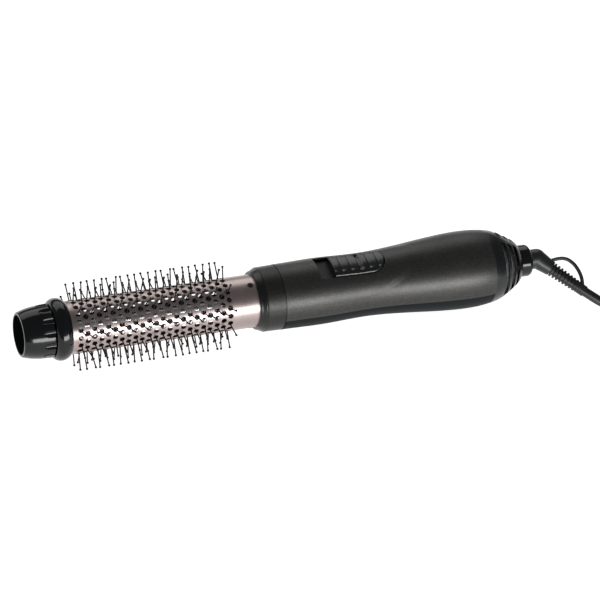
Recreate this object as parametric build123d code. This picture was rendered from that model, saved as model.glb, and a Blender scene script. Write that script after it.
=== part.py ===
"""Hot air styling brush with bristles that a twist knob draws in.

The brush axis is X, the nose points to -X and the switch to +Z. Pieces are drawn about the axis
with x counted from the nose face, and export moves them all so that z = 0 is the surface the brush
lies on. Angles about the axis are counted from +Z towards -Y. Lengths are in millimetres.
"""
from build123d import *
from math import cos, pi, radians, sin, sqrt, tan
import os

# ---- driving dimensions -------------------------------------------------------------------------
# barrel
barrel_radius = 16.0
barrel_wall = 0.8
barrel_start = 23.0
barrel_end = 148.0
hole_diameter = 3.3
hole_columns = 23
holes_around = 20
first_column = 33.6
column_pitch = 4.223
screw_station = 141.5
screw_turn = 11.7
barrel_screw_count = 3
barrel_screw_radius = 1.7
barrel_screw_length = 2.6

# bristles
bar_count = 10
bar_first_angle = 24.7
bar_inner = 12.6
bar_depth = 1.8
bar_taper = 17.9
bar_gap = 0.16
bar_overhang = 4.2
bristle_stroke = 8.8
knob_turn = 90.0
pin_radius = 0.4
ball_radius = 0.75
tip_radius = 26.4
lean_least = 1.5
lean_most = 10.0
lean_across = 0.55
golden_angle = 137.508
end_pin_radius = 0.55
end_pin_line = 13.2
slot_play = 0.2

# shaft, guides and scrolls
shaft_radius = 2.5
bore_play = 0.05
guide_thickness = 1.6
plate_gap = 0.6
end_pin_short = 0.2
rim_wall = 0.6
scroll_play = 0.2
window_inner = 7.0
window_outer = 12.4
window_web = 1.0
clip_radius = 4.2
clip_length = 2.0

# nose
knob_length = 18.6
knob_front_radius = 13.1
knob_rear_radius = 16.2
knob_skin = [(7.0, 15.25), (12.0, 15.85)]
knob_wall = 2.0
knob_hub_radius = 5.0
face_depth = 1.2
face_plate = 1.2
flute_count = 13
flute_radius = 2.7
flute_centre = 17.5
flute_start = 9.5
flange_start = 18.9
flange_end = 28.8
flange_radius = 18.6
flange_plate = 2.0

# collar, front ring and handle
collar_start = 145.0
collar_lip_radius = 17.7
collar_radius = 19.0
ring_start = 148.9
ring_radius = 19.5
handle_start = 160.7
handle_end = 295.0
handle_wall = 2.2
handle_front_radius = 19.8
shoulder_station = 187.0
shoulder_radius = 20.2
waist_station = 214.0
waist_radius = 19.4
bulb_station = 270.0
bulb_radius = 23.4
handle_rear_radius = 22.65
split_height = -2.8
spigot_start = 137.5
spigot_wall = 2.7
tail_length = 5.5

# switch
recess_start = 184.4
recess_length = 43.2
recess_width = 19.2
recess_floor = 15.7
recess_floor_thickness = 1.2
recess_wall = 1.6
button_length = 33.3
button_play = 0.5
button_proud = 1.0
switch_travel = 8.5
stem_length = 7.0
stem_width = 3.0
rib_count = 5
rib_width = 2.0
rib_pitch = 5.0
slider_thickness = 1.2
slider_length = 12.0
slider_width = 8.0
block_wall = 0.6

# heater and blower
heater_tube_radius = 11.8
heater_tube_wall = 0.6
former_half = 9.5
former_thickness = 0.8
former_start = 153.0
former_length = 46.0
tube_past_former = 7.0
wire_radius = 0.4
wire_corner = 10.6
wire_bend = 1.5
wire_turns = 8
thermostat_radius = 4.0
thermostat_height = 6.0
motor_start = 229.0
motor_length = 30.0
motor_radius = 12.0
motor_shaft_radius = 1.15
mount_arms = 4
mount_length = 8.0
mount_wall = 1.8
fan_start = 262.5
fan_length = 10.0
fan_hub_radius = 6.0
fan_blades = 7
fan_blade_thickness = 1.0
fan_pitch = 38.0
fan_tip_gap = 0.8
board_start = 209.0
board_length = 17.0
board_width = 19.0
board_thickness = 1.6
board_height = -14.2
rib_thickness = 1.6
boss_inset = 9.2
boss_radius = 2.6
boss_wall_gap = 3.0
screw_head_radius = 1.7
screw_shank_radius = 0.9
screw_head_height = -9.0
screw_top = 4.0

# rear grille
dome_end = 317.0
dome_end_radius = 10.5
dome_skin = [(303.9, 20.2), (311.5, 15.8)]
dome_wall = 2.0
slot_offsets = (8.5, 13.2, 17.5)
slot_length = 3.0
bridge_angle = 15.0
bridge_count = 3
filter_gap = 0.5
filter_thickness = 0.5
rear_plate = 3.0

# swivel
collar_gap = 0.4
swivel_radius = 9.85
swivel_end = 324.85
neck_radius = 5.9
neck_play = 0.1
retainer_radius = 8.0
retainer_thickness = 1.5
slip_ring_radius = 4.6
slip_ring_length = 3.0
spindle_radius = 3.6
leaf_gap = 0.3
carrier_radius = 11.0
carrier_wall = 1.6

# cord outlet, relief, loop and cord
elbow_radius = 6.1
elbow_bend = 330.2
elbow_angle = 45.0
elbow_side = 60.0
elbow_tail = 11.05
elbow_end_radius = 4.6
relief_length = 19.0
relief_rings = 8
relief_start_radius = 4.5
relief_end_radius = 3.8
relief_core = 3.25
relief_ring_length = 1.25
sleeve_length = 5.85
sleeve_radius = 3.5
loop_radius = 1.15
loop_rise = 9.8
loop_roll = 47.0
cord_radius = 3.0
lead_bend = 404.0
lead_end = 430.0
hank_centre = (438.0, -12.5)
hank_run = 42.0
hank_fold = 18.0
hank_columns = 3
hank_layers = 4
tie_width = 8.0
tie_thickness = 0.6
plug_lead_start = 443.0
plug_lead_edge = 484.0
plug_bend = (508.0, -30.0)
plug_place = (523.0, -30.0)
plug_height = 26.0
plug_width = 36.5
plug_boot = 12.0
plug_waist = 26.0
plug_shoulder = 38.0
plug_face = 46.0
plug_pin_radius = 2.4
plug_pin_length = 19.0
plug_pin_spacing = 19.0

# ---- worked out from them -----------------------------------------------------------------------
bore_radius = barrel_radius - barrel_wall
bar_outer = bar_inner + bar_depth
last_column = first_column + (hole_columns - 1) * column_pitch
bar_front = first_column - bar_overhang
bar_rear = last_column + bar_overhang
front_guide = bar_front - plate_gap - guide_thickness
front_scroll = front_guide - plate_gap - guide_thickness
rear_guide_start = bar_rear + plate_gap
rear_scroll = rear_guide_start + guide_thickness + plate_gap
end_pin_reach = plate_gap * 2 + guide_thickness * 2 - end_pin_short
slot_half = end_pin_radius + slot_play
end_pin_inner = end_pin_line - bristle_stroke
guide_hub_bore = shaft_radius + bore_play
scroll_radius = bore_radius - rim_wall - scroll_play
tail_radius = handle_front_radius - handle_wall
recess_end = recess_start + recess_length
sector = 360 / bar_count
heater_tube_end = former_start + former_length + tube_past_former
front_boss_side = handle_front_radius - handle_wall - boss_wall_gap
rear_boss_side = handle_rear_radius - handle_wall - boss_wall_gap
hank_side = hank_fold + 2 * cord_radius * (hank_columns - 1)


# ---- helpers ------------------------------------------------------------------------------------
def turned(*edges):
    """A solid turned about the brush axis from a closed outline drawn as (x, radius)."""
    outline = Curve() + list(edges)
    return revolve(make_face(outline), Axis.X)


def turned_corners(*corners):
    """A solid turned about the brush axis from the corners of its section."""
    return revolve(make_face(Polyline(*corners, close=True)), Axis.X)


def ring(start, end, outer, inner=0.0):
    """A disc or tube about the brush axis between two stations."""
    half = (end - start) / 2
    body = Pos(start + half, 0, 0) * Rot(0, 90, 0) * Cylinder(outer, 2 * half)
    if inner:
        body -= Pos(start + half, 0, 0) * Rot(0, 90, 0) * Cylinder(inner, 2 * half + 2)
    return body


def across(station):
    """The plane across the axis at a station: its x is -Y and its y is +Z."""
    return Plane((station, 0, 0), x_dir=(0, -1, 0), z_dir=(-1, 0, 0))


def polar(radius, angle):
    """The place in an across() plane at an angle from +Z towards -Y."""
    return (radius * sin(radians(angle)), radius * cos(radians(angle)))


def turned_to(angle, shape):
    return Rot(angle, 0, 0) * shape


def slab(bottom, top):
    """All of the brush between two heights."""
    return Pos(180, 0, (bottom + top) / 2) * Box(600, 120, top - bottom)


# ---- barrel -------------------------------------------------------------------------------------
def hole_ring():
    """One column of holes with its share of the tube."""
    tube = ring(-column_pitch / 2, column_pitch / 2, barrel_radius, bore_radius)
    cutters = []
    for step in range(holes_around // 2):
        cutters.append(turned_to(step * 360 / holes_around, Cylinder(hole_diameter / 2, 3 * barrel_radius)))
    return tube - cutters


def barrel():
    column = hole_ring()
    stagger = 180 / holes_around
    pieces = []
    for number in range(hole_columns):
        turn = bar_first_angle - stagger / 2 + stagger * (number % 2)
        pieces.append(Pos(first_column + number * column_pitch, 0, 0) * turned_to(turn, column))
    half = column_pitch / 2
    pieces.append(ring(barrel_start, first_column - half, barrel_radius, bore_radius))
    rear = ring(last_column + half, barrel_end, barrel_radius, bore_radius)
    pieces.append(rear - barrel_screw_places(barrel_screw_radius + 0.15, barrel_radius))
    return pieces[0].fuse(*pieces[1:])


def barrel_screw_places(radius, length):
    """Cylinders along the fixing screws, from the axis outwards."""
    screws = []
    for number in range(barrel_screw_count):
        shank = Pos(screw_station, 0, length / 2 + 5) * Cylinder(radius, length)
        screws.append(turned_to(screw_turn + number * 360 / barrel_screw_count, shank))
    return screws


def barrel_screws():
    """Three small pan screws, sunk to the barrel's surface, each with a cross slot."""
    screws = []
    head = barrel_radius - 0.3
    for number in range(barrel_screw_count):
        screw = Pos(0, 0, head - 0.6) * Cylinder(barrel_screw_radius, 1.2)
        screw += Pos(0, 0, head - 1.2 - barrel_screw_length / 2) * Cylinder(0.9, barrel_screw_length)
        screw -= Pos(0, 0, head) * (Box(2.0, 0.5, 1.0) + Box(0.5, 2.0, 1.0))
        placed = Pos(screw_station, 0, 0) * screw
        screws.append(turned_to(screw_turn + number * 360 / barrel_screw_count, placed))
    return Compound(children=screws)


# ---- bristle bars, guides and scrolls -----------------------------------------------------------
def bristle_pin(column, lean_number, side):
    """One ball-tipped pin of a bar that stands up along +Z. Its lean follows the golden angle, and its foot
    is moved back against the lean, so that it crosses the hole's middle half way through the stroke."""
    turn = radians(golden_angle * lean_number)
    amount = lean_least + (lean_most - lean_least) * abs(sin(1.7 * lean_number))
    along = amount * cos(turn)
    outwards = amount * sin(turn) * lean_across
    middle = barrel_radius - bar_outer + bristle_stroke / 2
    half_hole = barrel_radius * sin(radians(90 / holes_around))
    foot_x = first_column + column * column_pitch - middle * tan(radians(along))
    foot_y = half_hole - max(0.0, middle * tan(radians(outwards)))
    rise = tip_radius - ball_radius - bar_outer
    height = rise / cos(radians(along)) / cos(radians(outwards))
    buried = bar_depth / 3
    shank = Pos(0, 0, (height - buried) / 2) * Cylinder(pin_radius, height + buried)
    pin = shank + Pos(0, 0, height) * Sphere(ball_radius)
    return Pos(foot_x, side * foot_y, bar_outer) * Rot(-side * outwards, along, 0) * pin


def bristle_bar(number):
    """A bar with a pin at every column and an end pin for the scrolls, standing along +Z, then turned."""
    inner_half = (bar_inner - bristle_stroke) * tan(radians(sector / 2)) - bar_gap
    outer_half = inner_half + bar_depth * tan(radians(bar_taper))
    corners = [(-inner_half, bar_inner), (inner_half, bar_inner), (outer_half, bar_outer), (-outer_half, bar_outer)]
    section = across(bar_rear) * make_face(Polyline(*corners, close=True))
    bar = extrude(section, bar_rear - bar_front)
    pins = []
    for column in range(hole_columns):
        side = 1 if column % 2 == 0 else -1
        pins.append(bristle_pin(column, hole_columns * number + column, side))
    reach = bar_rear - bar_front + 2 * end_pin_reach
    end_pin = Pos((bar_front + bar_rear) / 2, 0, end_pin_line) * Rot(0, 90, 0) * Cylinder(end_pin_radius, reach)
    bar = bar.fuse(end_pin, *pins)
    return turned_to(bar_first_angle + sector * number, bar)


def radial_slots(start, end):
    """Cutters for the guides: a straight slot for each bar's end pin."""
    cutters = []
    for number in range(bar_count):
        slot = SlotCenterToCenter(bristle_stroke, 2 * slot_half, rotation=90)
        middle = Pos(0, end_pin_line - bristle_stroke / 2) * slot
        cutter = extrude(across(end) * middle, end - start)
        cutters.append(turned_to(bar_first_angle + sector * number, cutter))
    return cutters


def air_windows(start, end):
    """Cutters for the rear guide: a tapered window between each pair of slots."""
    near = window_inner * tan(radians(sector / 2)) - slot_half - window_web
    far = window_outer * tan(radians(sector / 2)) - slot_half - window_web
    corners = [(-near, window_inner), (near, window_inner), (far, window_outer), (-far, window_outer)]
    window = extrude(across(end) * make_face(Polyline(*corners, close=True)), end - start)
    return [turned_to(bar_first_angle + sector * (number + 0.5), window) for number in range(bar_count)]


def front_guide_disc():
    end = front_guide + guide_thickness
    disc = ring(front_guide, end, bore_radius, guide_hub_bore)
    disc += ring(barrel_start, front_guide, bore_radius, bore_radius - rim_wall)
    return disc - radial_slots(front_guide, end)


def rear_guide_disc():
    end = rear_guide_start + guide_thickness
    disc = ring(rear_guide_start, end, bore_radius, guide_hub_bore)
    disc += ring(end, spigot_start, bore_radius, bore_radius - rim_wall)
    return disc - radial_slots(rear_guide_start, end) - air_windows(rear_guide_start, end)


def scroll_slot(bar_angle):
    """The outline of one scroll slot: both sides of r = line - stroke * turn / knob_turn, round at the ends."""
    left, right = [], []
    steps = 6
    for step in range(steps + 1):
        turn = knob_turn * step / steps
        radius = end_pin_line - bristle_stroke * step / steps
        angle = radians(bar_angle - turn)
        slope = bristle_stroke / radians(knob_turn)
        tangent = Vector(slope * sin(angle) + radius * cos(angle), slope * cos(angle) - radius * sin(angle))
        normal = Vector(-tangent.Y, tangent.X).normalized() * slot_half
        point = Vector(*polar(radius, bar_angle - turn))
        left.append(point + normal)
        right.append(point - normal)
        if step == 0:
            outer_tip = point + tangent.normalized() * slot_half
        inner_tip = point - tangent.normalized() * slot_half
    sides = [Spline(*left), Spline(*right)]
    ends = [ThreePointArc(left[0], outer_tip, right[0]), ThreePointArc(left[-1], inner_tip, right[-1])]
    return make_face(Curve() + sides + ends)


def scroll_plate(start):
    """A disc fixed on the shaft. Its ten spiral slots move the bars' end pins in and out."""
    disc = ring(start, start + guide_thickness, scroll_radius, shaft_radius)
    slots = []
    for number in range(bar_count):
        outline = scroll_slot(bar_first_angle + sector * number)
        slots.append(extrude(across(start + guide_thickness + 1) * outline, guide_thickness + 2))
    return disc - slots


def knob_shaft():
    """The central shaft, from the knob's hub to the clip behind the rear scroll."""
    return ring(face_depth + face_plate, rear_scroll + guide_thickness + clip_length, shaft_radius)


def shaft_clip():
    """The open spring clip that holds the rear scroll on the shaft."""
    start = rear_scroll + guide_thickness
    clip = ring(start, start + clip_length / 2, clip_radius, shaft_radius)
    return clip - Pos(start, 0, -clip_radius) * Box(3 * clip_length, 2 * shaft_radius * 0.8, 2 * clip_radius)


# ---- nose ---------------------------------------------------------------------------------------
def nose_knob():
    """The twist knob: a barrel-shaped cap with teardrop flutes, hollow behind, with a hub for the shaft."""
    skin = Spline((0.8, knob_front_radius + 0.5), *knob_skin, (knob_length - 1, knob_rear_radius))
    lip = ThreePointArc((0.8, knob_front_radius + 0.5), (0.1, knob_front_radius), (0.0, knob_front_radius - 0.7))
    floor = face_depth + face_plate
    well = knob_front_radius - 1.2
    back = ThreePointArc(
        (knob_length - 1, knob_rear_radius), (knob_length - 0.3, knob_rear_radius - 0.3),
        (knob_length, knob_rear_radius - 1))
    inside = Polyline(
        (knob_length, knob_rear_radius - 1), (knob_length, knob_rear_radius - knob_wall),
        (knob_skin[1][0], knob_skin[1][1] - knob_wall), (floor + 2, knob_front_radius + 1 - knob_wall),
        (floor + 2, knob_hub_radius),
        (knob_length, knob_hub_radius), (knob_length, shaft_radius), (floor, shaft_radius), (floor, 0), (face_depth, 0),
        (face_depth, well), (0, well), (0.0, knob_front_radius - 0.7))
    knob = turned(skin, lip, inside, back)
    flutes = []
    for number in range(flute_count):
        groove = Pos(flute_start + flute_radius * 2.2, 0, flute_centre) * Rot(0, 86, 0)
        groove *= Cylinder(flute_radius, 30, align=(Align.CENTER, Align.CENTER, Align.MIN))
        tip = Pos(flute_start + flute_radius * 2.2, 0, flute_centre) * scale(Sphere(flute_radius), (2.2, 1, 1))
        flutes.append(turned_to(number * 360 / flute_count, groove + tip))
    return knob - flutes


def nose_end_disc():
    """The dished disc set into the knob's face."""
    well = knob_front_radius - 1.2
    dish = ThreePointArc((face_depth - 0.2, 0), (face_depth - 0.4, well / 2), (face_depth - 0.9, well - 0.2))
    outline = Polyline((face_depth - 0.9, well - 0.2), (face_depth - 0.9, well), (face_depth, well), (face_depth, 0),
                       (face_depth - 0.2, 0))
    return turned(dish, outline)


def nose_flange():
    """The rounded end ring of the barrel, with the plate that the shaft turns in."""
    crown = (flange_start + flange_end) / 2
    front, back = flange_start + 0.3, flange_end
    skin = Spline((front, barrel_radius + 0.3), (crown - 1.5, flange_radius), (crown + 2, flange_radius - 0.1),
                  (back, barrel_radius + 0.5))
    plate_back = barrel_start
    inside = Polyline(
        (back, barrel_radius + 0.5), (back, barrel_radius), (plate_back, barrel_radius),
        (plate_back, guide_hub_bore), (plate_back - flange_plate, guide_hub_bore),
        (plate_back - flange_plate, knob_rear_radius - knob_wall), (front, knob_rear_radius - knob_wall),
        (front, barrel_radius + 0.3))
    return turned(skin, inside)


# ---- collar, front ring and housing -------------------------------------------------------------
def barrel_collar():
    """The black heat-resistant bush between barrel and handle."""
    outline = [
        (spigot_start, bore_radius - spigot_wall), (spigot_start, bore_radius), (barrel_end, bore_radius),
        (barrel_end, barrel_radius), (collar_start, barrel_radius), (collar_start, collar_lip_radius - 0.4),
        (collar_start + 0.4, collar_lip_radius), (collar_start + 1.4, collar_lip_radius + 0.3),
        (ring_start - 0.4, collar_radius), (ring_start, collar_radius), (ring_start, tail_radius),
        (handle_start + tail_length, tail_radius), (handle_start + tail_length, tail_radius - 2.0),
        (ring_start + 3, tail_radius - 2.0), (ring_start + 3, heater_tube_radius),
        (barrel_end, heater_tube_radius), (barrel_end, bore_radius - spigot_wall)]
    bush = turned_corners(*outline)
    seats = []
    for number in range(barrel_screw_count):
        seat = Pos(0, 0, barrel_radius - 1.5 + 2) * Cylinder(barrel_screw_radius, 4)
        seat += Pos(0, 0, barrel_radius - 3) * Cylinder(0.9, 4.4)
        placed = Pos(screw_station, 0, 0) * seat
        seats.append(turned_to(screw_turn + number * 360 / barrel_screw_count, placed))
    return bush - seats


def front_ring():
    """The grey ring that closes the front of the two housings."""
    return turned_corners(
        (ring_start, tail_radius), (ring_start, ring_radius - 0.6), (ring_start + 0.6, ring_radius),
        (handle_start - 0.5, handle_front_radius - 0.1), (handle_start - 0.5, handle_front_radius - 0.5),
        (handle_start, handle_front_radius - 0.5), (handle_start, tail_radius))


def handle_outline(inset):
    """Stations of the handle's skin, moved inwards by inset."""
    return Spline(
        (handle_start, handle_front_radius - inset), (shoulder_station, shoulder_radius - inset),
        (waist_station, waist_radius - inset), (bulb_station, bulb_radius - inset),
        (handle_end, handle_rear_radius - inset),
        tangents=[(1, 0), (1, -0.16)])


def handle_solid(inset):
    """The handle filled out to its skin less inset."""
    edges = Polyline((handle_end, handle_rear_radius - inset), (handle_end, 0), (handle_start, 0),
                     (handle_start, handle_front_radius - inset))
    return turned(handle_outline(inset), edges)


def switch_outline(margin):
    """The recess outline grown by margin: straight in front, half round behind."""
    half = recess_width / 2 + margin
    centre = recess_end - recess_width / 2
    start = recess_start - margin
    corner = 1.5 + margin
    edges = Curve() + [
        ThreePointArc((centre, half), (centre + half, 0), (centre, -half)),
        Polyline((centre, -half), (start + corner, -half)),
        ThreePointArc((start + corner, -half), (start + corner * (1 - sqrt(0.5)), -half + corner * (1 - sqrt(0.5))),
                      (start, -half + corner)),
        Polyline((start, -half + corner), (start, half - corner)),
        ThreePointArc((start, half - corner), (start + corner * (1 - sqrt(0.5)), half - corner * (1 - sqrt(0.5))),
                      (start + corner, half)),
        Polyline((start + corner, half), (centre, half))]
    return make_face(edges)


def raised(face, bottom, top):
    """A flat face lifted to a height and extruded up to another."""
    return extrude(Pos(0, 0, bottom) * face, top - bottom)


def boss_places():
    """Station and side of the four housing screws."""
    front, rear = handle_start + boss_inset, handle_end - boss_inset
    return [(front, front_boss_side), (front, -front_boss_side), (rear, rear_boss_side), (rear, -rear_boss_side)]


def boss_columns(radius, bottom, top):
    columns = []
    for station, side in boss_places():
        columns.append(Pos(station, side, (bottom + top) / 2) * Cylinder(radius, top - bottom))
    return columns


def housing_shell():
    outer = handle_solid(0.0)
    inner = handle_solid(handle_wall)
    shell = outer - inner
    bosses = [column & inner for column in boss_columns(boss_radius, -30, 30)]
    shell = shell.fuse(*bosses)
    return shell - ring(handle_start - 1, handle_start + tail_length, tail_radius), outer, inner


def upper_housing(shell, outer):
    """The top casing, with the switch recess sunk into it and a slot in its floor for the stem."""
    body = shell & slab(split_height, 60)
    floor_bottom = recess_floor - recess_floor_thickness
    well = raised(switch_outline(recess_wall), floor_bottom, 40) & outer
    body += well
    body -= raised(switch_outline(0.0), recess_floor, 40)
    slot_middle = button_middle() - switch_travel / 2
    slot_size = stem_length + switch_travel + 2 * button_play
    body -= Pos(slot_middle, 0, recess_floor) * Box(slot_size, stem_width + 2 * slot_play, 10)
    return body - boss_columns(screw_shank_radius, split_height - 1, screw_top)


def lower_housing(shell, inner):
    """The bottom casing, with ribs that carry the heater tube and the board, and counterbored screw holes."""
    body = shell & slab(-60, split_height)
    for station in (handle_start + 12, heater_tube_end - 8):
        rib = ring(station, station + rib_thickness, bulb_radius, heater_tube_radius) & inner
        body += rib & slab(-60, split_height)
    for station in (board_start, board_start + board_length - rib_thickness):
        rib = ring(station, station + rib_thickness, bulb_radius) & inner
        body += rib & slab(-60, board_height)
    body -= boss_columns(screw_shank_radius, -30, split_height + 1)
    return body - boss_columns(screw_head_radius + bore_play, -40, screw_head_height)


def housing_screws():
    screws = []
    for station, side in boss_places():
        screw = Pos(0, 0, screw_head_height - 0.7) * Cylinder(screw_head_radius, 1.4)
        length = screw_top - screw_head_height
        screw += Pos(0, 0, screw_head_height + length / 2) * Cylinder(screw_shank_radius, length)
        screw -= Pos(0, 0, screw_head_height - 1.4) * (Box(2.2, 0.5, 1.2) + Box(0.5, 2.2, 1.2))
        screws.append(Pos(station, side, 0) * screw)
    return Compound(children=screws)


# ---- switch -------------------------------------------------------------------------------------
def button_middle():
    return recess_end - button_play - button_length / 2


def switch_button():
    """The slide button at its rear place: flat in front, half round behind, with cross ribs on top."""
    half = recess_width / 2 - button_play
    centre = recess_end - recess_width / 2
    start = recess_end - button_play - button_length
    edges = Curve() + [
        ThreePointArc((centre, half), (centre + half, 0), (centre, -half)),
        Polyline((centre, -half), (start, -half), (start, half), (centre, half))]
    crown = handle_solid(-button_proud)
    low_crown = handle_solid(0.3 - button_proud)
    block = raised(make_face(edges), recess_floor + bore_play * 4, 40)
    middle = button_middle()
    button = block & low_crown
    ribs = []
    for number in range(rib_count):
        place = middle + (number - (rib_count - 1) / 2) * rib_pitch
        bar = Pos(place, 0, recess_floor + 10) * Box(rib_width, 2 * half - 4, 20)
        ribs.append(bar & crown & block)
    button = button.fuse(*ribs)
    button -= Pos(middle, 0, waist_radius + 4.2) * Rot(90, 0, 0) * Cylinder(4.2, 2 * half + 2)
    stem_bottom = recess_floor - recess_floor_thickness - 1
    stem = Pos(middle, 0, (recess_floor + 1 + stem_bottom) / 2)
    stem *= Box(stem_length, stem_width, recess_floor + 1 - stem_bottom)
    return button + stem


def switch_slider():
    """The contact slider under the recess floor, on the button's stem."""
    top = recess_floor - recess_floor_thickness - 0.2
    slider = Pos(button_middle(), 0, top - slider_thickness / 2) * Box(slider_length, slider_width, slider_thickness)
    stem_bottom = recess_floor - recess_floor_thickness - 1
    return slider - Pos(button_middle(), 0, stem_bottom + 5) * Box(stem_length, stem_width, 10)


def switch_block():
    """The open contact tray that the slider runs in, screwed up under the recess floor."""
    top = recess_floor - recess_floor_thickness
    inside_length = slider_length + switch_travel + 4 * button_play
    depth = slider_thickness + 0.4
    middle = button_middle() - switch_travel / 2
    tray = Pos(middle, 0, top - (depth + block_wall) / 2)
    tray *= Box(inside_length + 2 * block_wall, slider_width + 1 + 2 * block_wall, depth + block_wall)
    tray -= Pos(middle, 0, top - depth / 2) * Box(inside_length, slider_width + 1, depth)
    return tray


# ---- heater and blower --------------------------------------------------------------------------
def heater_tube():
    return ring(barrel_end, heater_tube_end, heater_tube_radius, heater_tube_radius - heater_tube_wall)


def heater_former():
    """Two crossed mica plates, with feet that reach the tube at both ends."""
    middle = former_start + former_length / 2
    plates = Pos(middle, 0, 0) * Box(former_length, 2 * former_half, former_thickness)
    plates += Pos(middle, 0, 0) * Box(former_length, former_thickness, 2 * former_half)
    reach = 2 * (heater_tube_radius - heater_tube_wall)
    tube_room = ring(barrel_end, heater_tube_end, heater_tube_radius - heater_tube_wall)
    for place in (former_start - 1.5, former_start + former_length + 1.5):
        foot = Pos(place, 0, 0) * (Box(3, reach, former_thickness) + Box(3, former_thickness, reach))
        plates += foot & tube_room
    return plates


def heater_winding():
    """The resistance wire, wound from edge to edge of the crossed plates."""
    pitch = (former_length - 6) / wire_turns
    points = []
    for step in range(4 * wire_turns + 1):
        angle = step * 90
        points.append((former_start + 3 + pitch * step / 4, *polar(wire_corner, angle)))
    path = FilletPolyline(*points, radius=wire_bend)
    section = Plane(origin=path @ 0, z_dir=path % 0) * Circle(wire_radius)
    return sweep(section, path=path)


def thermostat():
    """The cut-out that sits in the hot air behind the former's last foot."""
    body = ring(former_start + former_length + 3, former_start + former_length + 3 + thermostat_height,
                thermostat_radius)
    return body


def motor():
    body = ring(motor_start, motor_start + motor_length - 2, motor_radius)
    body += ring(motor_start + motor_length - 2, motor_start + motor_length, 4.0)
    body += ring(motor_start - 1.5, motor_start, 3.5)
    flats = Pos(motor_start + 10, 0, 0) * Box(40, 60, 2 * motor_radius - 3)
    ends = ring(motor_start + motor_length, fan_start + fan_length, motor_shaft_radius + bore_play)
    return (body & flats) - ends - ring(motor_start + motor_length - 8, fan_start, motor_shaft_radius + bore_play)


def motor_mount(inner):
    """The ring that holds the motor, with four curved vanes out to the housings."""
    start = motor_start + 4
    flats = Pos(start, 0, 0) * Box(60, 60, 2 * motor_radius - 3)
    bore = ring(start - 1, start + mount_length + 1, motor_radius) & flats
    body = ring(start, start + mount_length, motor_radius + mount_wall) - bore
    for number in range(mount_arms):
        vane = Pos(start + mount_length / 2, 0, motor_radius + 8) * Rot(0, 0, 12) * Box(mount_length + 4, 1.6, 17)
        trimmed = vane & ring(start, start + mount_length, 40, motor_radius + mount_wall - 0.4)
        body += turned_to(45 + number * 360 / mount_arms, trimmed)
    return body & inner


def fan():
    """Hub, shaft and seven twisted blades, lofted from a steep root to a flatter tip."""
    hub = ring(fan_start, fan_start + fan_length, fan_hub_radius)
    hub += ring(motor_start + motor_length - 7, fan_start + 1, motor_shaft_radius)
    middle = fan_start + fan_length / 2
    tip = bulb_radius - handle_wall - fan_tip_gap - 0.4
    blades = []
    for number in range(fan_blades):
        root_section = Plane((middle, 0, fan_hub_radius - 1)) * Rot(0, 0, fan_pitch)
        tip_section = Plane((middle, 0, tip)) * Rot(0, 0, fan_pitch + 22)
        root = root_section * Rectangle(9.0, fan_blade_thickness * 1.4)
        end = tip_section * Rectangle(11.0, fan_blade_thickness)
        blades.append(turned_to(number * 360 / fan_blades, loft([root, end])))
    return hub.fuse(*blades)


def rectifier_board():
    """The small board with four diodes and a capacitor that feeds the motor."""
    middle = board_start + board_length / 2
    board = Pos(middle, 0, board_height + board_thickness / 2) * Box(board_length, board_width, board_thickness)
    top = board_height + board_thickness
    for number in range(4):
        lead = Pos(middle - 4.5 + 3 * number, -5.5, top + 1.2) * Rot(90, 0, 0) * Cylinder(1.3, 5)
        board += lead
    return board + Pos(middle, 4.5, top + 3) * Cylinder(3.5, 6)


# ---- rear grille --------------------------------------------------------------------------------
def dome_solid(inset):
    """The rear dome filled out to its skin less inset."""
    middle = [(station, radius - inset) for station, radius in dome_skin]
    skin = Spline(
        (handle_end, handle_rear_radius - inset), *middle, (dome_end - inset * 0.6, dome_end_radius - inset),
        tangents=[(1, -0.13), (0.45, -1)])
    edges = Polyline((dome_end - inset * 0.6, dome_end_radius - inset), (dome_end - inset * 0.6, 0), (handle_end, 0),
                     (handle_end, handle_rear_radius - inset))
    return turned(skin, edges)


def bridges(width_angle):
    """Wedges along the three bridges between the groups of slots."""
    wedges = []
    for number in range(bridge_count):
        half = radians(width_angle / 2)
        far = 40
        corners = [(0, 0), (-far * sin(half), far * cos(half)), (far * sin(half), far * cos(half))]
        wedge = extrude(across(dome_end + 5) * make_face(Polyline(*corners, close=True)), 40)
        wedges.append(turned_to(number * 360 / bridge_count, wedge))
    return wedges


def rear_grille():
    """The black end cap: a dome with rows of curved slots, and a plate with the swivel's bearing."""
    cap = dome_solid(0.0) - dome_solid(dome_wall)
    cap += dome_solid(0.0) & ring(dome_end - rear_plate - 1.2, dome_end, dome_end_radius + 1)
    lip_inner = handle_rear_radius - handle_wall - 1.6
    cap += ring(handle_end - 2.5, handle_end, handle_rear_radius - handle_wall - 0.15, lip_inner)
    cap += ring(handle_end, handle_end + 1.0, handle_rear_radius - 1.0, lip_inner)
    for number, offset in enumerate(slot_offsets):
        start = handle_end + offset - slot_length / 2
        end = min(start + slot_length, dome_end - rear_plate - 0.8)
        inner_radius = carrier_radius + 1.5
        row = ring(start, end, 40, inner_radius)
        cap -= row - bridges(bridge_angle)
    return cap - ring(dome_end - rear_plate - 4, dome_end + 1, neck_radius + neck_play)


def filter_mesh():
    """The thin filter behind the slots."""
    inset = dome_wall + filter_gap
    mesh = dome_solid(inset) - dome_solid(inset + filter_thickness)
    return mesh & ring(handle_end + 1.0, dome_end - rear_plate - 2.5, 40, carrier_radius + 0.4)


def contact_carrier():
    """The fixed sleeve around the slip rings, moulded to seat on the rear plate."""
    plate_front = dome_end - rear_plate - 1.2
    return ring(plate_front - 14, plate_front, carrier_radius, carrier_radius - carrier_wall)


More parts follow.
